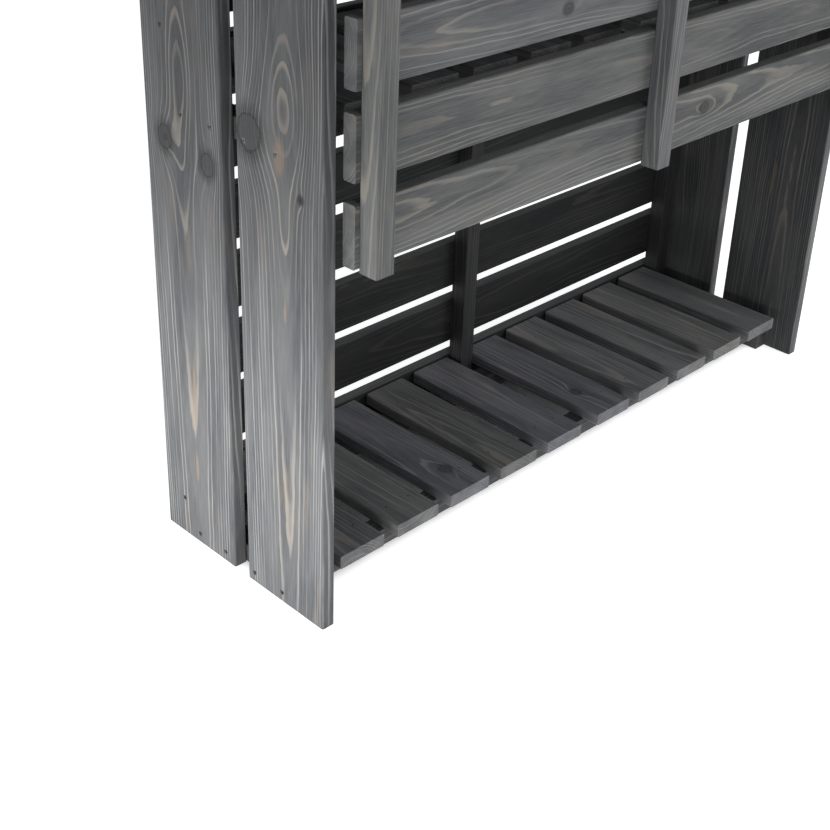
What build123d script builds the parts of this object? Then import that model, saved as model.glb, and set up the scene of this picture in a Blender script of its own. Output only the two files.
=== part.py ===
from build123d import *
import os

# Potting bench of stained softwood: two side panels of upright planks, a slatted back, three shelf levels, a
# shelf on top and a hinged front leaf.
# X runs along the bench from the left panel's outer face, Y runs back from the side planks' front edges and Z
# is up from the floor. write_parts moves every piece so that the origin is under the middle of the bench.

# ---- Driving dimensions, millimetres ----
width = 1085.0                      # over both side panels
plank_width = 145.0                 # side planks and top planks
plank_gap = 27.0                    # between the two planks of a side
board_width = 75.0                  # slats and boards
board_thickness = 19.0              # planks, slats and boards are equally thick
batten = 27.0                       # square battens: cleats, rails, uprights, leaf battens
board_round = 2.5                   # rounding along the edges of planks, slats and boards
batten_round = 1.2                  # rounding along the edges of battens

back_board_count = 13
back_pitch = 98.5                   # board and gap, up the back
low_board = 2                       # counted from 0: this back board sits a little low
low_board_drop = 2.0
slats_per_half = 5
slat_pitch = 99.5                   # slat and gap, along a shelf
slat_centre_gap = 39.0              # the middle upright comes up through this gap
slat_front = 23.0                   # shelf slats are set back from the planks' front edges
slat_back_clearance = 3.0
rail_front = 50.0                   # front face of a shelf's front rail, and of its cleats
rail_spacing = 183.0                # from a shelf's front rail to its rear rail

middle_cleat_height = 588.0         # underside of the middle shelf's cleats
worktop_height = 868.0              # top of the worktop
worktop_board_count = 3
top_overhang = 15.0                 # of the top planks past the side panels

leaf_board_count = 4
leaf_bottom = 492.0                 # lower edge of the hanging leaf's lowest board
leaf_pitch = 99.5
leaf_side_clearance = 4.5           # to each side panel when the leaf is up between them
leaf_standoff = 5.0                 # from the planks' front edges to the back of the leaf
leaf_batten_drop = 4.0              # the battens reach this far below the boards
leaf_batten_inset = 6.5             # from the end of the boards to the outer battens
stop_clearance = 0.3                # from the raised leaf's battens to the top bearers

hinge_centres = (180.0, width / 2, width - 180.0)
hinge_length = 60.0
hinge_plate = 2.0                   # plate thickness
hinge_plate_depth = 34.0
hinge_knuckle_radius = 2.4
hinge_knuckle_count = 5
hinge_knuckle_gap = 0.5
hinge_pin_radius = 1.25
hinge_pin_head_radius = 1.9
hinge_pin_head_height = 0.8
hinge_running_clearance = 0.05
hinge_relief = 4.0                  # from the pin's axis to the straight edge of a plate
hinge_screw_drop = 30.0             # from the pin's axis to the row of screws
hinge_screw_spacing = 22.0

# Fasteners. The sink is how far the head sits under the surface.
wood_screw = {"head_radius": 3.4, "head_height": 2.6, "shank_radius": 1.9, "sink": 0.6, "crossed": True}
hinge_screw = {"head_radius": 3.1, "head_height": 1.5, "shank_radius": 1.5, "sink": 0.1, "crossed": True}
slat_nail = {"head_radius": 1.5, "head_height": 0.8, "shank_radius": 1.0, "sink": 0.3, "crossed": False}
tip_radius = 0.1
fastener_fit = 0.1                  # free space around a fastener in its hole
screw_length = 40.0
back_screw_length = 35.0
rail_screw_length = 35.0
hinge_screw_length = 15.0
nail_length = 40.0
pair_spacing = 40.0                 # between the two fasteners of a board at a crossing
upright_screw_heights = (56.0, 700.0, 1205.0)
upright_screw_setback = 7.0         # from the upright's front face, clear of the back's screws
rear_rail_screw_setback = 6.0       # from the rear rail's front face, clear of the side panel's screws
top_screw_ys = ((70.0, 120.0), (205.0, 238.0))

button_length = 80.0
button_width = 16.0
button_thickness = 9.0
button_round = 1.5
button_gap = 0.5                    # between the turn button and the top plank's edge
button_bore_radius = 2.06
button_screw_radius = 2.0
button_head_radius = 4.2
button_head_height = 2.4
button_head_round = 1.2
button_head_gap = 0.2               # between the screw's head and the turn button

# ---- Worked out from them ----
depth = 2 * plank_width + plank_gap
inner_left = board_thickness
inner_right = width - board_thickness
centre = width / 2
back_face = depth - board_thickness               # front of the back boards
upright_front = back_face - batten
side_height = (back_board_count - 1) * back_pitch + board_width
leaf_back = -leaf_standoff
leaf_face = leaf_back - board_thickness
leaf_front = leaf_face - batten
leaf_left = inner_left + leaf_side_clearance
leaf_right = inner_right - leaf_side_clearance
pin_y = -leaf_standoff / 2
pin_z = worktop_height
leaf_top = leaf_bottom + (leaf_board_count - 1) * leaf_pitch + board_width
bearer_bottom = worktop_height - board_thickness - batten
worktop_gap = (upright_front - worktop_board_count * board_width) / (worktop_board_count - 1)
stop_face = board_thickness + batten + stop_clearance
batten_lefts = (inner_left, centre - batten / 2, inner_right - batten)
batten_middles = tuple(x + batten / 2 for x in batten_lefts)
side_screw_ys = (77.5, 132.0, 192.0, 247.0)       # through a side panel into each cleat

pieces = {}
fasteners = {
    "frame_screws": [],
    "leaf_screws": [],
    "slat_nails": [],
    "hinge_frame_screws": [],
    "hinge_leaf_screws": [],
}


# ---- Building blocks ----
def bar(x, y, z, grain, radius):
    """A straight piece between the given pairs of limits, rounded along the edges that follow the grain."""
    size = (x[1] - x[0], y[1] - y[0], z[1] - z[0])
    middle = (sum(x) / 2, sum(y) / 2, sum(z) / 2)
    block = Pos(*middle) * Box(*size)
    return fillet(block.edges().filter_by(grain), radius)


def board(x, y, z, grain):
    return bar(x, y, z, grain, board_round)


def square_batten(x, y, z, grain):
    return bar(x, y, z, grain, batten_round)


def fastener(length, head_radius, head_height, shank_radius, sink, crossed):
    """A screw or nail pointing down from Z = 0, with a cross recess in the head if it has one."""
    tip = 2 * shank_radius
    shank_length = length - sink - head_height - tip
    head = Pos(0, 0, -sink - head_height / 2) * Cone(shank_radius, head_radius, head_height)
    shank = Pos(0, 0, -sink - head_height - shank_length / 2) * Cylinder(shank_radius, shank_length)
    point = Pos(0, 0, -length + tip / 2) * Cone(tip_radius, shank_radius, tip)
    whole = head + shank + point
    if crossed:
        slot = Pos(0, 0, -sink) * Box(1.3 * head_radius, 0.3 * head_radius, head_height)
        whole = whole - slot - Rot(0, 0, 90) * slot
    return whole


def fastener_hole(length, head_radius, head_height, shank_radius, sink, crossed):
    """The hole for that screw or nail, a little larger all round and open above Z = 0."""
    head_hole = head_radius + fastener_fit
    shank_hole = shank_radius + fastener_fit
    mouth = Pos(0, 0, (1 - sink) / 2) * Cylinder(head_hole, sink + 1)
    cone = Pos(0, 0, -sink - head_height / 2) * Cone(shank_hole, head_hole, head_height)
    bore = Pos(0, 0, -length / 2) * Cylinder(shank_hole, length + 2 * fastener_fit)
    return mouth + cone + bore


def fasten(names, points, outward, length, group="frame_screws", kind=wood_screw):
    """Drives a fastener at each point, against the outward direction, through the named pieces."""
    solid = fastener(length, **kind)
    hole = fastener_hole(length, **kind)
    places = [Plane(origin=point, z_dir=outward).location for point in points]
    for name in names:
        pieces[name] = pieces[name] - [place * hole for place in places]
    fasteners[group] += [place * solid for place in places]


def pair(middle):
    return (middle - pair_spacing / 2, middle + pair_spacing / 2)


# ---- Side panels ----
def make_side_panels():
    for side, x in (("left", (0, board_thickness)), ("right", (inner_right, width))):
        for place, y0 in (("front", 0), ("rear", plank_width + plank_gap)):
            pieces[f"{side}_{place}_plank"] = board(x, (y0, y0 + plank_width), (0, side_height), Axis.Z)


def screw_side_panels(height, cleats):
    """Two screws per plank at one height, into the cleats that are given for the left and the right side."""
    sides = (("left", cleats[0], 0, (-1, 0, 0)), ("right", cleats[1], width, (1, 0, 0)))
    for side, cleat, x, outward in sides:
        for place, ys in (("front", side_screw_ys[:2]), ("rear", side_screw_ys[2:])):
            points = [(x, y, height) for y in ys]
            fasten((f"{side}_{place}_plank", cleat), points, outward, screw_length)


# ---- Back ----
def make_back():
    for name, x in zip(("left_upright", "centre_upright", "right_upright"), batten_lefts):
        pieces[name] = square_batten((x, x + batten), (upright_front, back_face), (0, side_height), Axis.Z)
    for index in range(back_board_count):
        z = index * back_pitch - (low_board_drop if index == low_board else 0)
        name = f"back_board_{index + 1:02d}"
        pieces[name] = board((inner_left, inner_right), (back_face, depth), (z, z + board_width), Axis.X)
        for upright, x in zip(("left_upright", "centre_upright", "right_upright"), batten_middles):
            points = [(x, depth, height) for height in pair(z + board_width / 2)]
            fasten((name, upright), points, (0, 1, 0), back_screw_length)


def screw_uprights():
    """Each rear plank is also screwed to its corner upright."""
    y = upright_front + upright_screw_setback
    for height in upright_screw_heights:
        fasten(("left_rear_plank", "left_upright"), [(0, y, height)], (-1, 0, 0), screw_length)
        fasten(("right_rear_plank", "right_upright"), [(width, y, height)], (1, 0, 0), screw_length)


# ---- Lower and middle shelves ----
def slat_starts():
    offsets = [slat_centre_gap / 2 + index * slat_pitch for index in range(slats_per_half)]
    left = [centre - offset - board_width for offset in reversed(offsets)]
    return left + [centre + offset for offset in offsets]


def make_shelf(level, bottom):
    """Cleats along the sides, two rails across them and slats from front to back nailed to the rails."""
    rails = {"front": rail_front, "rear": rail_front + rail_spacing}
    rail_bottom = bottom + batten
    rail_top = rail_bottom + batten
    slat_top = rail_top + board_thickness
    slat_back = back_face - slat_back_clearance
    cleat_limits = ((rail_front, upright_front), (bottom, rail_bottom))
    cleat_names = (f"{level}_left_cleat", f"{level}_right_cleat")
    for name, x in zip(cleat_names, (batten_lefts[0], batten_lefts[2])):
        pieces[name] = square_batten((x, x + batten), *cleat_limits, Axis.Y)
    for place, y in rails.items():
        rail = square_batten((inner_left, inner_right), (y, y + batten), (rail_bottom, rail_top), Axis.X)
        pieces[f"{level}_{place}_rail"] = rail
    for index, x in enumerate(slat_starts()):
        name = f"{level}_slat_{index + 1:02d}"
        pieces[name] = board((x, x + board_width), (slat_front, slat_back), (rail_top, slat_top), Axis.Y)
        for place, y in rails.items():
            points = [(across, y + batten / 2, slat_top) for across in pair(x + board_width / 2)]
            fasten((name, f"{level}_{place}_rail"), points, (0, 0, 1), nail_length, "slat_nails", slat_nail)
    screw_ys = (("front", rail_front + batten / 2), ("rear", rails["rear"] + rear_rail_screw_setback))
    for name, x in zip(cleat_names, (batten_middles[0], batten_middles[2])):
        for place, y in screw_ys:
            fasten((f"{level}_{place}_rail", name), [(x, y, rail_top)], (0, 0, 1), rail_screw_length)
    screw_side_panels(bottom + batten / 2, cleat_names)


# ---- Worktop ----
def make_worktop():
    """Three boards along the bench on a front rail and three bearers."""
    z = (bearer_bottom, bearer_bottom + batten)
    pieces["worktop_front_rail"] = square_batten((inner_left, inner_right), (0, batten), z, Axis.X)
    bearers = [f"worktop_{place}_bearer" for place in ("left", "centre", "right")]
    for name, x in zip(bearers, batten_lefts):
        pieces[name] = square_batten((x, x + batten), (batten, upright_front), z, Axis.Y)
    for index in range(worktop_board_count):
        y = index * (board_width + worktop_gap)
        name = f"worktop_board_{index + 1}"
        limits = ((inner_left, inner_right), (y, y + board_width), (z[1], worktop_height))
        pieces[name] = board(*limits, Axis.X)
        for bearer, x in zip(bearers, batten_middles):
            points = [(x, across, worktop_height) for across in pair(y + board_width / 2)]
            fasten((name, bearer, "worktop_front_rail"), points, (0, 0, 1), screw_length)
    screw_side_panels(bearer_bottom + batten / 2, (bearers[0], bearers[2]))
    rail_middle = (batten / 2, bearer_bottom + batten / 2)
    fasten(("left_front_plank", "worktop_front_rail"), [(0, *rail_middle)], (-1, 0, 0), screw_length)
    fasten(("right_front_plank", "worktop_front_rail"), [(width, *rail_middle)], (1, 0, 0), screw_length)


# ---- Top shelf ----
def make_top():
    """Two planks laid on the side panels and on three bearers that also stop the raised leaf."""
    z = (side_height - batten, side_height)
    top = side_height + board_thickness
    bearers = [f"top_{place}_bearer" for place in ("left", "centre", "right")]
    for name, x in zip(bearers, batten_lefts):
        pieces[name] = square_batten((x, x + batten), (stop_face, upright_front), z, Axis.Y)
    starts = (0, plank_width + plank_gap)
    for name, y, screw_ys in zip(("top_front_plank", "top_rear_plank"), starts, top_screw_ys):
        limits = ((-top_overhang, width + top_overhang), (y, y + plank_width), (side_height, top))
        pieces[name] = board(*limits, Axis.X)
        for bearer, x in zip(bearers, batten_middles):
            fasten((name, bearer), [(x, across, top) for across in screw_ys], (0, 0, 1), screw_length)
    screw_side_panels(side_height - batten / 2, (bearers[0], bearers[2]))


# ---- Front leaf ----
def make_leaf():
    """Boards along the bench with three battens on the face that turns inward when the leaf is raised."""
    left = leaf_left + leaf_batten_inset
    starts = (left, centre - batten / 2, leaf_right - leaf_batten_inset - batten)
    battens = [f"leaf_{place}_batten" for place in ("left", "centre", "right")]
    z = (leaf_bottom - leaf_batten_drop, leaf_top - leaf_batten_drop)
    for name, x in zip(battens, starts):
        pieces[name] = square_batten((x, x + batten), (leaf_front, leaf_face), z, Axis.Z)
    for index in range(leaf_board_count):
        bottom = leaf_bottom + index * leaf_pitch
        limits = ((leaf_left, leaf_right), (leaf_face, leaf_back), (bottom, bottom + board_width))
        name = f"leaf_board_{index + 1}"
        pieces[name] = board(*limits, Axis.X)
        for batten_name, x in zip(battens, starts):
            points = [(x + batten / 2, leaf_back, height) for height in pair(bottom + board_width / 2)]
            fasten((name, batten_name), points, (0, 1, 0), screw_length, "leaf_screws")


# ---- Hinges ----
def hinge_half(middle, plate_y, knuckles):
    """One plate hanging below the pin, with tabs up to its own knuckles."""
    bottom = pin_z - hinge_plate_depth
    straight_edge = pin_z - hinge_relief
    y = plate_y + hinge_plate / 2
    height = straight_edge - bottom
    half = Pos(middle, y, bottom + height / 2) * Box(hinge_length, hinge_plate, height)
    step = hinge_length / hinge_knuckle_count
    for index in knuckles:
        x = middle - hinge_length / 2 + (index + 0.5) * step
        length = step - hinge_knuckle_gap
        half += Pos(x, y, pin_z - hinge_relief / 2) * Box(length, hinge_plate, hinge_relief)
        half += Pos(x, pin_y, pin_z) * Rot(0, 90, 0) * Cylinder(hinge_knuckle_radius, length)
    bore = hinge_pin_radius + hinge_running_clearance
    return half - Pos(middle, pin_y, pin_z) * Rot(0, 90, 0) * Cylinder(bore, hinge_length + 2)


def make_hinges():
    all_knuckles = range(hinge_knuckle_count)
    height = pin_z - hinge_screw_drop
    for number, middle in enumerate(hinge_centres, 1):
        pieces[f"hinge_frame_plate_{number}"] = hinge_half(middle, -hinge_plate, all_knuckles[0::2])
        pieces[f"hinge_leaf_plate_{number}"] = hinge_half(middle, leaf_back, all_knuckles[1::2])
        pin = Cylinder(hinge_pin_radius, hinge_length)
        for end in (-1, 1):
            rivet = Cylinder(hinge_pin_head_radius, hinge_pin_head_height)
            pin += Pos(0, 0, end * (hinge_length + hinge_pin_head_height) / 2) * rivet
        pieces[f"hinge_pin_{number}"] = Pos(middle, pin_y, pin_z) * Rot(0, 90, 0) * pin
        xs = [middle + offset * hinge_screw_spacing for offset in (-1, 0, 1)]
        joined = (f"hinge_frame_plate_{number}", "worktop_front_rail")
        points = [(x, -hinge_plate, height) for x in xs]
        fasten(joined, points, (0, -1, 0), hinge_screw_length, "hinge_frame_screws", hinge_screw)
        joined = (f"hinge_leaf_plate_{number}", f"leaf_board_{leaf_board_count}")
        points = [(x, leaf_back + hinge_plate, height) for x in xs]
        fasten(joined, points, (0, 1, 0), hinge_screw_length, "hinge_leaf_screws", hinge_screw)


# ---- Turn button ----
def make_turn_button():
    """A wooden button on the top plank's front edge. A quarter turn holds the raised leaf."""
    height = side_height + board_thickness / 2
    front = -button_gap - button_thickness
    blank = extrude(SlotOverall(button_length, button_width), button_thickness)
    blank = fillet(blank.faces().sort_by(Axis.Z)[-1].edges(), button_round)
    blank -= Cylinder(button_bore_radius, 3 * button_thickness)
    place = Plane(origin=(centre, -button_gap, height), x_dir=(1, 0, 0), z_dir=(0, -1, 0)).location
    pieces["turn_button"] = place * blank
    shank_length = screw_length - button_head_height
    shank = Pos(0, 0, -shank_length / 2) * Cylinder(button_screw_radius, shank_length)
    head = Pos(0, 0, button_head_height / 2) * Cylinder(button_head_radius, button_head_height)
    head = fillet(head.faces().sort_by(Axis.Z)[-1].edges(), button_head_round)
    slot = Pos(0, 0, button_head_height) * Box(1.1 * button_head_radius, 0.3 * button_head_radius, 2.2)
    screw = shank + head - slot - Rot(0, 0, 90) * slot
    bore = Cylinder(button_screw_radius + fastener_fit, shank_length + 2 * fastener_fit)
    place = Plane(origin=(centre, front - button_head_gap, height), z_dir=(0, -1, 0)).location
    pieces["turn_button_screw"] = place * screw
    pieces["top_front_plank"] -= place * Pos(0, 0, -shank_length / 2) * bore


# ---- Nodes ----
def node_lists():
    """Every piece is a node of its own, apart from these sets of equal pieces."""
    sets = {
        "shelf_cleats": [name for name in pieces if name.endswith("cleat")],
        "middle_rails": [name for name in pieces if name.startswith("middle_") and "rail" in name],
        "middle_slats": [name for name in pieces if name.startswith("middle_slat")],
        "worktop_bearers": [name for name in pieces if name.startswith("worktop_") and "bearer" in name],
        "top_bearers": [name for name in pieces if name.startswith("top_") and "bearer" in name],
        "hinge_frame_plates": [name for name in pieces if name.startswith("hinge_frame_plate")],
        "hinge_leaf_plates": [name for name in pieces if name.startswith("hinge_leaf_plate")],
        "hinge_pins": [name for name in pieces if name.startswith("hinge_pin")],
    }
    grouped = {name for names in sets.values() for name in names}
    nodes = {name: [piece] for name, piece in pieces.items() if name not in grouped}
    nodes.update({node: [pieces[name] for name in names] for node, names in sets.items()})
    nodes.update(fasteners)
    return nodes


def write_parts():
    os.makedirs("parts", exist_ok=True)
    to_origin = Pos(-centre, -(leaf_front + depth) / 2, 0)
    for node, shapes in node_lists().items():
        solids = [solid for shape in shapes for solid in (to_origin * shape).solids()]
        whole = solids[0] if len(solids) == 1 else Compound(children=solids)
        export_step(whole, f"parts/{node}.step")


make_side_panels()
make_back()
screw_uprights()
make_shelf("lower", 0)
make_shelf("middle", middle_cleat_height)
make_worktop()
make_top()
make_leaf()
make_hinges()
make_turn_button()
write_parts()
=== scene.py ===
import math
import random

import bpy
from mathutils import Matrix, Vector


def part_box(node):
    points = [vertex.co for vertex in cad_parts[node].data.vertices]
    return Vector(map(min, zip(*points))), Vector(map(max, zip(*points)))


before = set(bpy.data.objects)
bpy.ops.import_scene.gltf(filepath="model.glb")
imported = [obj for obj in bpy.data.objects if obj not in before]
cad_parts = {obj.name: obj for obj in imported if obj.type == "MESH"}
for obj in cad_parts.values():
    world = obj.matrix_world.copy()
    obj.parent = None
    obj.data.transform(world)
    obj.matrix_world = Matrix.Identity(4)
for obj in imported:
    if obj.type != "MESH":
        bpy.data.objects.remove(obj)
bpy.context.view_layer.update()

# ---- Camera, in metres from the left side panel's front bottom corner, and in degrees ----
CAMERA_LEFT = 0.904
CAMERA_FRONT = 1.021
CAMERA_HEIGHT = 1.138
CAMERA_HEADING = 45.51
CAMERA_DOWN = 27.65
CAMERA_ROLL = -1.91
CAMERA_LENS = 60.8
CAMERA_SHIFT = (0.0065, -0.1045)

# ---- Area lights: place and aim in metres from the same corner, size in metres and power in watts ----
LIGHTS = {
    "side": {"place": (-0.7075, 0.183, 0.12), "aim": (0.0425, 0.183, 0.05), "size": (1.6, 0.2), "power": 14},
    "front": {"place": (1.8425, -2.167, 1.2), "aim": (0.6425, 0.133, 0.2), "size": (1.2, 0.8), "power": 30},
    "key": {"place": (-0.4575, -2.267, 2.6), "aim": (0.6425, 0.133, 0.2), "size": (0.7, 0.7), "power": 22},
}

# ---- Linear colours of the stained wood ----
GROUND = (0.088, 0.091, 0.094)
GROUND_DARK = (0.044, 0.048, 0.054)
GRAIN_LINE = (0.240, 0.236, 0.228)
WARM_LINE = (0.225, 0.200, 0.172)
WARM = (0.185, 0.145, 0.112)
KNOT = (0.012, 0.012, 0.012)

# Boards whose stain leans to blue or to olive.
BLUISH = (1.0, 0.985, 1.045)
OLIVE = (1.0, 0.995, 0.955)
TINTS = {
    "lower_slat_02": OLIVE,
    "lower_slat_03": BLUISH,
    "lower_slat_04": OLIVE,
    "lower_slat_05": BLUISH,
    "lower_slat_06": BLUISH,
    "lower_slat_09": OLIVE,
    "leaf_board_1": OLIVE,
    "leaf_board_2": OLIVE,
    "leaf_left_batten": OLIVE,
}

# Pieces with a darker inner face: which way it looks, and what is left of the colour there. It is painted
# shade together with stain.
INNER_STAIN_AND_SHADE = {
    "left_front": (1, 0.45),
    "left_rear": (1, 0.45),
    "right_front": (-1, 0.45),
    "right_rear": (-1, 0.40),
    "back_board": (-1, 0.22),
}

# Tone of each group of pieces, as a share of those colours. It is stain and painted shade together.
TONE_AND_SHADE = {
    "plank": 1.0,
    "leaf": 0.95,
    "slat": 1.3,
    "back_board": 0.85,
    "upright": 0.25,
    "rail": 0.55,
    "cleat": 0.55,
}
OTHER_TONE_AND_SHADE = 0.7

# ---- Grain axes: across the face, through the thickness, along the grain ----
AXES = {"X": (2, 1, 0), "Y": (0, 2, 1), "Z": (1, 0, 2)}
MILLIMETRES = 1000.0
SIDE_SHIFT = 0.4                    # moves the grain of equal pieces on the two sides of the middle apart
PIECE_SHIFT = 733.0                 # and that of neighbours
WARM_HALF_WIDTH = 26.0              # lines this near the pith are warm
HEIGHT_SHADE_FROM, HEIGHT_SHADE_TO = 200.0, 640.0   # painted shade: the planks get darker between these heights
HEIGHT_SHADE_SHARE = 0.38
FACE_FROM, FACE_TO = 7.6, 9.3       # distance from a board's middle at which its face begins

# Knots by piece, in millimetres: place across the face from its middle, distance along the grain from its low
# end, radius, how far the grain bulges round it, and how dark its heart is.
KNOTS = {
    "left_front_plank": [(50, 614, 19, 14, 0.25), (-36, 561, 4, 3, 1.0)],
    "left_rear_plank": [(-45, 553, 12, 8, 0.15), (35, 566, 13, 14, 0.7)],
    "lower_slat_03": [(4, 52, 7, 5, 0.5)],
    "lower_slat_06": [(-10, 66, 6, 5, 0.5)],
    "leaf_board_1": [(8, 640, 7, 5, 0.6)],
    "leaf_board_3": [(-6, 330, 6, 5, 0.6)],
    "right_rear_plank": [(12, 820, 9, 8, 0.5)],
    "right_front_plank": [(-22, 960, 10, 9, 0.6)],
}
# Places where the grain swells towards a knot inside the board: across, along, half width, half height and
# swell.
SWELLS = {
    "left_front_plank": [(-9, 650, 45, 75, 15), (-9, 520, 12, 48, 5)],
    "left_rear_plank": [(3, 640, 30, 90, 12), (3, 545, 14, 40, 4)],
}
# Bare patches where the stain is worn to the warm wood: across, along, half width, half height.
BARE = {
    "left_front_plank": [(-1, 600, 12, 26), (-8, 415, 3, 15)],
    "left_rear_plank": [(0, 230, 5, 62), (2, 120, 4, 30)],
    "right_front_plank": [(10, 300, 4, 40)],
}
# Cuts that differ from the general rule: place of the pith, taper along the grain and ring width.
CUTS = {
    "left_front_plank": {"pith": (-9, 32), "taper": -0.0125, "ring": 4.0, "drift": 5.0, "ripple": 2.2},
    "left_rear_plank": {"pith": (3, 38), "taper": -0.0125, "ring": 3.8, "drift": 5.0, "ripple": 2.2},
}


# ---- Node helpers ----
class Graph:
    """Adds nodes to a tree. Arguments are sockets or plain numbers."""

    def __init__(self, tree):
        self.tree = tree

    def node(self, kind, **settings):
        made = self.tree.nodes.new(kind)
        for name, value in settings.items():
            setattr(made, name, value)
        return made

    def feed(self, socket, value):
        if isinstance(value, bpy.types.NodeSocket):
            self.tree.links.new(value, socket)
        else:
            socket.default_value = value

    def math(self, operation, *values):
        made = self.node("ShaderNodeMath", operation=operation)
        for socket, value in zip(made.inputs, values):
            self.feed(socket, value)
        return made.outputs[0]

    def add(self, a, b):
        return self.math("ADD", a, b)

    def sub(self, a, b):
        return self.math("SUBTRACT", a, b)

    def mul(self, a, b):
        return self.math("MULTIPLY", a, b)

    def vector(self, x, y, z):
        made = self.node("ShaderNodeCombineXYZ")
        for socket, value in zip(made.inputs, (x, y, z)):
            self.feed(socket, value)
        return made.outputs[0]

    def noise(self, vector, scale, detail=2.0, rough=0.5):
        made = self.node("ShaderNodeTexNoise", noise_dimensions="3D")
        self.feed(made.inputs["Vector"], vector)
        made.inputs["Scale"].default_value = scale
        made.inputs["Detail"].default_value = detail
        made.inputs["Roughness"].default_value = rough
        return made.outputs["Fac"]

    def ramp(self, value, low, high):
        made = self.node("ShaderNodeMapRange", interpolation_type="SMOOTHSTEP")
        self.feed(made.inputs["Value"], value)
        made.inputs["From Min"].default_value = low
        made.inputs["From Max"].default_value = high
        return made.outputs["Result"]

    def blend(self, factor, a, b, mode="MIX"):
        made = self.node("ShaderNodeMix", data_type="RGBA", blend_type=mode)
        self.feed(made.inputs["Factor"], factor)
        for socket, value in ((made.inputs[6], a), (made.inputs[7], b)):
            self.feed(socket, value if isinstance(value, bpy.types.NodeSocket) else (*value, 1.0))
        return made.outputs[2]


# ---- Wood ----
def stretched(graph, u, v, w, scales, shift):
    """A texture place that is stretched along the grain and shifted for this piece."""
    along = graph.add(graph.mul(w, scales[2]), shift)
    return graph.vector(graph.mul(u, scales[0]), graph.mul(v, scales[1]), along)


def growth(graph, u, v, w, look):
    """Distance from the pith, in growth rings, with the wander, taper and knots of this piece."""
    seed = look["seed"]
    slow = stretched(graph, u, v, w, (0.012, 0.012, 0.0022), seed)
    wave = stretched(graph, u, v, w, (0.05, 0.05, 0.011), seed + 31.0)
    fine = stretched(graph, u, v, w, (0.5, 0.5, 0.05), seed + 57.0)
    drift = graph.mul(graph.sub(graph.noise(slow, 1.0, 1.0), 0.5), look["drift"])
    ripple = graph.mul(graph.sub(graph.noise(wave, 1.0, 2.0), 0.5), look["ripple"])
    shiver = graph.mul(graph.sub(graph.noise(fine, 1.0, 2.0), 0.5), look["shiver"])
    pith_u = graph.add(look["pith"][0], graph.mul(drift, 2.0))
    across = graph.sub(u, pith_u)
    through = graph.sub(v, look["pith"][1])
    radius = graph.math("SQRT", graph.add(graph.mul(across, across), graph.mul(through, through)))
    radius = graph.add(radius, graph.mul(w, look["taper"]))
    for wobble in (drift, ripple, shiver):
        radius = graph.add(radius, wobble)
    return radius


def swelling(graph, u, w, across, along, half_width, half_height, swell):
    """A smooth hill in the ring distance, so the grain flows round its middle."""
    wide = graph.mul(graph.sub(u, across), 1.0 / half_width)
    tall = graph.mul(graph.sub(w, along), 1.0 / half_height)
    spread = graph.add(graph.mul(wide, wide), graph.mul(tall, tall))
    return graph.mul(graph.math("EXPONENT", graph.mul(spread, -1.0)), swell)


def oval(graph, u, w, across, along, half_width, half_height):
    """A smooth spot, 1 in its middle."""
    return swelling(graph, u, w, across, along, half_width, half_height, 1.0)


def knot_fields(graph, u, w, knots):
    """Bulge of the grain round the knots, the mask of their hearts and their dark outlines and rings."""
    bulge, heart, shade = 0.0, 0.0, 0.0
    for across, along, size, swell, darkness in knots:
        du = graph.sub(u, across)
        dw = graph.sub(w, along)
        bulge = graph.add(bulge, swelling(graph, u, w, across, along, 1.5 * size, 3.0 * size, swell))
        stretch = graph.add(graph.mul(du, du), graph.mul(graph.mul(dw, dw), 0.72))
        uneven = graph.noise(graph.vector(graph.mul(u, 0.12), graph.mul(w, 0.12), along), 1.0, 2.0)
        distance = graph.mul(graph.math("SQRT", stretch), 1.0 / size)
        distance = graph.add(distance, graph.mul(graph.sub(uneven, 0.5), 0.4))
        inside = graph.sub(1.0, graph.ramp(distance, 0.88, 1.0))
        outside = graph.sub(1.0, graph.ramp(distance, 1.0, 1.18))
        outline = graph.mul(graph.ramp(distance, 0.78, 0.96), outside)
        halo = graph.mul(graph.sub(1.0, graph.ramp(distance, 1.0, 2.0)), 0.5)
        rings = graph.ramp(graph.math("FRACT", graph.mul(distance, 3.3)), 0.45, 0.95)
        core = graph.sub(1.0, graph.ramp(distance, 0.1, 0.45))
        dark = graph.mul(inside, graph.add(graph.mul(rings, 0.5), graph.mul(core, darkness)))
        dark = graph.math("MAXIMUM", dark, graph.mul(inside, darkness * 0.8))
        dark = graph.math("MAXIMUM", dark, graph.math("MAXIMUM", graph.mul(outline, 0.8), halo))
        shade = graph.math("MAXIMUM", shade, dark)
        heart = graph.math("MAXIMUM", heart, inside)
    return bulge, heart, shade


def grey(graph, value):
    return graph.vector(value, value, value)


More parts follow.
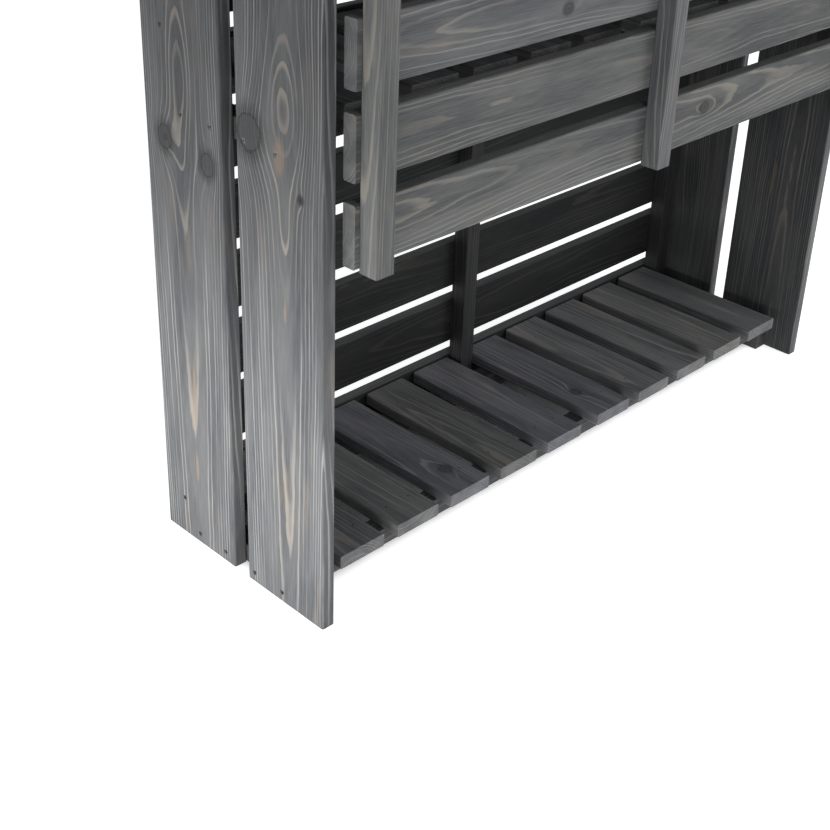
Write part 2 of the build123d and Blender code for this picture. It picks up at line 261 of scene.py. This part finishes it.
def wood(name, grain, box, look):
    """Grey stained softwood: light thin latewood lines on a ground that took more stain."""
    material = bpy.data.materials.new(name)
    material.use_nodes = True
    tree = material.node_tree
    tree.nodes.clear()
    graph = Graph(tree)
    place = graph.node("ShaderNodeTexCoord").outputs["Object"]
    split = graph.node("ShaderNodeSeparateXYZ")
    graph.feed(split.inputs[0], place)
    low, high = box
    across, thick, along = AXES[grain]
    u = graph.mul(graph.sub(split.outputs[across], (low[across] + high[across]) / 2), MILLIMETRES)
    v = graph.mul(graph.sub(split.outputs[thick], (low[thick] + high[thick]) / 2), MILLIMETRES)
    w = graph.mul(graph.sub(split.outputs[along], low[along]), MILLIMETRES)
    if look["repeat"]:
        first, pitch = look["repeat"]
        from_first = graph.sub(graph.math("ABSOLUTE", u), first)
        cell = graph.math("FLOOR", graph.mul(from_first, 1.0 / pitch))
        side = graph.math("SIGN", u)
        u = graph.sub(graph.sub(from_first, graph.mul(cell, pitch)), pitch / 2)
        w = graph.add(w, graph.mul(graph.add(cell, graph.mul(side, SIDE_SHIFT)), PIECE_SHIFT))

    radius = growth(graph, u, v, w, look)
    bulge, knot_heart, knot_shade = knot_fields(graph, u, w, look["knots"])
    for swell in look["swells"]:
        bulge = graph.add(bulge, swelling(graph, u, w, *swell))
    radius = graph.sub(radius, bulge)
    count = graph.mul(radius, 1.0 / look["ring"])
    phase = graph.math("FRACT", count)
    number = graph.math("FLOOR", count)
    rise = graph.ramp(phase, 0.55, 0.84)
    fall = graph.sub(1.0, graph.ramp(phase, 0.92, 1.0))
    line = graph.mul(rise, fall)
    strength = graph.noise(graph.vector(graph.mul(number, 3.7), look["seed"], graph.mul(w, 0.004)), 1.0, 0.0)
    line = graph.mul(line, graph.ramp(strength, 0.28, 0.72))

    seed = look["seed"]
    fibre = graph.noise(stretched(graph, u, v, w, (1.0, 1.0, 0.016), seed), 1.6, 3.0, 0.65)
    blotch = graph.noise(stretched(graph, u, v, w, (0.03, 0.03, 0.004), seed + 9), 1.0, 3.0, 0.6)
    warm_cloud = graph.noise(stretched(graph, u, v, w, (0.045, 0.02, 0.006), seed + 77), 1.0, 2.0)
    warmth = graph.ramp(warm_cloud, 0.60, 0.78)

    from_pith = graph.mul(graph.sub(u, look["pith"][0]), 1.0 / WARM_HALF_WIDTH)
    centre = graph.math("EXPONENT", graph.mul(graph.mul(from_pith, from_pith), -1.0))
    light = graph.blend(centre, look["line"], look["warm_line"])
    colour = graph.blend(graph.ramp(blotch, 0.3, 0.7), look["dark"], look["ground"])
    colour = graph.blend(graph.mul(graph.ramp(fibre, 0.35, 0.8), 0.3), colour, look["line"])
    colour = graph.blend(graph.mul(warmth, look["warm"]), colour, look["warm_colour"])
    colour = graph.blend(graph.mul(line, look["contrast"]), colour, light)
    for patch in look["bare"]:
        ragged = graph.add(oval(graph, u, w, *patch), graph.mul(graph.sub(fibre, 0.5), 1.2))
        colour = graph.blend(graph.mul(graph.ramp(ragged, 0.3, 0.8), 0.7), colour, look["warm_colour"])
    if look["knots"]:
        colour = graph.blend(graph.mul(knot_heart, 0.8), colour, look["ground"])
        colour = graph.blend(knot_shade, colour, look["knot_colour"])
    # Painted shade: the planks get darker with height, where less light reaches their upper parts.
    if look["painted_height_shade"]:
        painted_shade_above = graph.mul(graph.ramp(w, HEIGHT_SHADE_FROM, HEIGHT_SHADE_TO), -HEIGHT_SHADE_SHARE)
        colour = graph.blend(1.0, colour, grey(graph, graph.add(1.0, painted_shade_above)), "MULTIPLY")
    # Darker inner faces: painted shade together with stain.
    if look["inner_stain_and_shade"]:
        side, left_over = look["inner_stain_and_shade"]
        inner = graph.ramp(graph.mul(v, side), FACE_FROM, FACE_TO)
        dimmed = graph.add(1.0, graph.mul(inner, left_over - 1.0))
        colour = graph.blend(1.0, colour, grey(graph, dimmed), "MULTIPLY")

    shader = graph.node("ShaderNodeBsdfPrincipled")
    graph.feed(shader.inputs["Base Color"], colour)
    sheen_change = graph.add(0.62, graph.mul(graph.sub(fibre, line), 0.14))
    graph.feed(shader.inputs["Roughness"], sheen_change)
    shader.inputs["Specular IOR Level"].default_value = 0.12
    relief = graph.add(graph.mul(fibre, 0.5), graph.mul(line, 0.55))
    bump = graph.node("ShaderNodeBump")
    bump.inputs["Strength"].default_value = 0.55
    bump.inputs["Distance"].default_value = 0.0006
    graph.feed(bump.inputs["Height"], relief)
    graph.feed(shader.inputs["Normal"], bump.outputs[0])
    output = graph.node("ShaderNodeOutputMaterial")
    graph.feed(output.inputs["Surface"], shader.outputs[0])
    return material


def steel(name, colour, roughness):
    """Dull plated steel with faint cloudy wear."""
    material = bpy.data.materials.new(name)
    material.use_nodes = True
    graph = Graph(material.node_tree)
    shader = material.node_tree.nodes["Principled BSDF"]
    place = graph.node("ShaderNodeTexCoord").outputs["Object"]
    cloud = graph.noise(place, 90.0, 4.0)
    worn = [channel * 0.8 for channel in colour]
    graph.feed(shader.inputs["Base Color"], graph.blend(graph.ramp(cloud, 0.35, 0.7), colour, worn))
    graph.feed(shader.inputs["Roughness"], graph.add(roughness, graph.mul(cloud, 0.2)))
    shader.inputs["Metallic"].default_value = 1.0
    return material


# ---- Sets of equal pieces that share a node ----
def millimetres(metres):
    return round(metres * MILLIMETRES, 1)


def slat_repeat():
    """Start and pitch of the middle slats. They lie as the lower ones do, the sixth next to the middle."""
    start, following = (millimetres(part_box(f"lower_slat_{number:02d}")[0][0]) for number in (6, 7))
    return start, following - start


def batten_repeat():
    """Start and pitch of the battens from front to back, which lie at both sides and some in the middle."""
    low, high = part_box("lower_front_rail")
    pitch = millimetres(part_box("shelf_cleats")[1][0] - (high[2] - low[2]) / 2)
    return -pitch / 2, pitch


# Sets that lie from front to back, mirrored about the middle: start and pitch, millimetres.
REPEATS = {"middle_slats": slat_repeat()}
for battens in ("shelf_cleats", "worktop_bearers", "top_bearers"):
    REPEATS[battens] = batten_repeat()


def grain_axis(node):
    """The grain follows a piece's long direction."""
    if node in REPEATS:
        return "Y"
    low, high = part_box(node)
    size = [high[i] - low[i] for i in range(3)]
    return "XYZ"[size.index(max(size))]


# Scales a colour by its group's tone, which holds painted shade as well as stain, and by its tint.
def stained(colour, tone_and_shade, tint):
    return tuple(channel * tone_and_shade * share for channel, share in zip(colour, tint))


def look_for(node, number):
    """Cut, colour and seed of one piece. The pith is beside or below the board, as in flat-sawn boards."""
    dice = random.Random(number * 7919 + 13)
    # Tone of the group: stain together with painted shade.
    tone_and_shade = next((value for key, value in TONE_AND_SHADE.items() if key in node), OTHER_TONE_AND_SHADE)
    tone_and_shade *= dice.uniform(0.9, 1.1)
    tint = TINTS.get(node, (1.0, 1.0, 1.0))
    look = {
        "seed": dice.uniform(0, 400),
        "pith": (dice.uniform(-30, 30), dice.choice((-1, 1)) * dice.uniform(16, 60)),
        "taper": dice.choice((-1, 1)) * dice.uniform(0.008, 0.02),
        "ring": dice.uniform(2.6, 4.0),
        "drift": dice.uniform(7, 14),
        "ripple": dice.uniform(2.0, 4.0),
        "shiver": 0.5,
        "ground": stained(GROUND, tone_and_shade, tint),
        "dark": stained(GROUND_DARK, tone_and_shade, tint),
        "line": stained(GRAIN_LINE, tone_and_shade, tint),
        "warm_line": stained(WARM_LINE, tone_and_shade, tint),
        "warm_colour": stained(WARM, tone_and_shade, tint),
        "knot_colour": stained(KNOT, tone_and_shade, tint),
        "contrast": 0.8 if "plank" in node else 0.45,
        "warm": 0.35 if "plank" in node else 0.2,
        "painted_height_shade": node.endswith("plank"),
        "knots": KNOTS.get(node, []),
        "swells": SWELLS.get(node, []),
        "bare": BARE.get(node, []),
        "repeat": REPEATS.get(node),
        "inner_stain_and_shade": next((face for key, face in INNER_STAIN_AND_SHADE.items() if node.startswith(key)), None),
    }
    look.update(CUTS.get(node, {}))
    return look


def dress_nodes():
    for number, (node, thing) in enumerate(sorted(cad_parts.items())):
        if "screw" in node or "nail" in node:
            material = SCREW_STEEL
        elif node.startswith("hinge"):
            material = HINGE_STEEL
        else:
            material = wood(f"wood_{node}", grain_axis(node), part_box(node), look_for(node, number))
        thing.data.materials.clear()
        thing.data.materials.append(material)


# ---- Stage, light and camera ----
FLOOR_GLOW = 0.70
FLOOR_SOFT = 0.02
HORIZON = (1.05, 1.05, 1.05)
OVERHEAD = (0.36, 0.37, 0.38)


def between(graph, value, low, high):
    """1 between the limits, with soft ends."""
    rise = graph.ramp(value, low - FLOOR_SOFT, low + FLOOR_SOFT)
    return graph.sub(rise, graph.ramp(value, high - FLOOR_SOFT, high + FLOOR_SOFT))


def make_floor():
    """A pale floor that glows a little, except in the bench's own shade."""
    bpy.ops.mesh.primitive_plane_add(size=30)
    floor = bpy.context.object
    floor.name = "floor"
    material = bpy.data.materials.new("floor")
    material.use_nodes = True
    shader = material.node_tree.nodes["Principled BSDF"]
    shader.inputs["Base Color"].default_value = (0.85, 0.85, 0.85, 1)
    shader.inputs["Roughness"].default_value = 0.9
    shader.inputs["Emission Color"].default_value = (1, 1, 1, 1)
    graph = Graph(material.node_tree)
    split = graph.node("ShaderNodeSeparateXYZ")
    graph.feed(split.inputs[0], graph.node("ShaderNodeTexCoord").outputs["Object"])
    left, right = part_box("left_front_plank")[1][0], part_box("right_front_plank")[0][0]
    front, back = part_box("lower_front_rail")[1][1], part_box("back_board_01")[0][1]
    along = between(graph, split.outputs[0], left, right)
    under = graph.mul(along, between(graph, split.outputs[1], front, back))
    glow = graph.mul(graph.sub(1.0, under), FLOOR_GLOW)
    graph.feed(shader.inputs["Emission Strength"], glow)
    floor.data.materials.append(material)


def area_light(name, place, aim, size, power):
    corner = Vector(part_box("left_front_plank")[0])
    data = bpy.data.lights.new(name, "AREA")
    data.shape = "RECTANGLE"
    data.size, data.size_y = size
    data.energy = power
    light = bpy.data.objects.new(name, data)
    bpy.context.collection.objects.link(light)
    light.location = corner + Vector(place)
    light.rotation_euler = (Vector(aim) - Vector(place)).to_track_quat("-Z", "Y").to_euler()


def make_light():
    world = bpy.data.worlds.new("studio")
    bpy.context.scene.world = world
    world.use_nodes = True
    graph = Graph(world.node_tree)
    split = graph.node("ShaderNodeSeparateXYZ")
    graph.feed(split.inputs[0], graph.node("ShaderNodeTexCoord").outputs["Generated"])
    overhead = graph.ramp(split.outputs[2], 0.10, 0.35)
    background = world.node_tree.nodes["Background"]
    graph.feed(background.inputs["Color"], graph.blend(overhead, HORIZON, OVERHEAD))
    for name, settings in LIGHTS.items():
        area_light(name, **settings)
    bpy.context.scene.view_settings.view_transform = "Standard"


def make_camera():
    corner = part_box("left_front_plank")[0]
    heading, down, roll = (math.radians(a) for a in (CAMERA_HEADING, CAMERA_DOWN, CAMERA_ROLL))
    ahead = math.cos(down)
    forward = Vector((math.sin(heading) * ahead, math.cos(heading) * ahead, -math.sin(down)))
    level = Vector((math.cos(heading), -math.sin(heading), 0))
    lowered = forward.cross(level)
    right = level * math.cos(roll) + lowered * math.sin(roll)
    below = lowered * math.cos(roll) - level * math.sin(roll)
    camera = bpy.data.objects.new("camera", bpy.data.cameras.new("camera"))
    bpy.context.collection.objects.link(camera)
    turn = Matrix((right, -below, -forward)).transposed().to_4x4()
    place = (corner[0] - CAMERA_LEFT, corner[1] - CAMERA_FRONT, CAMERA_HEIGHT)
    camera.matrix_world = Matrix.Translation(place) @ turn
    camera.data.lens = CAMERA_LENS
    camera.data.sensor_width = 36.0
    camera.data.shift_x, camera.data.shift_y = CAMERA_SHIFT
    bpy.context.scene.camera = camera


SCREW_STEEL = steel("screw_steel", (0.10, 0.10, 0.10), 0.4)
HINGE_STEEL = steel("hinge_steel", (0.33, 0.33, 0.32), 0.42)

make_camera()
make_light()
make_floor()
dress_nodes()
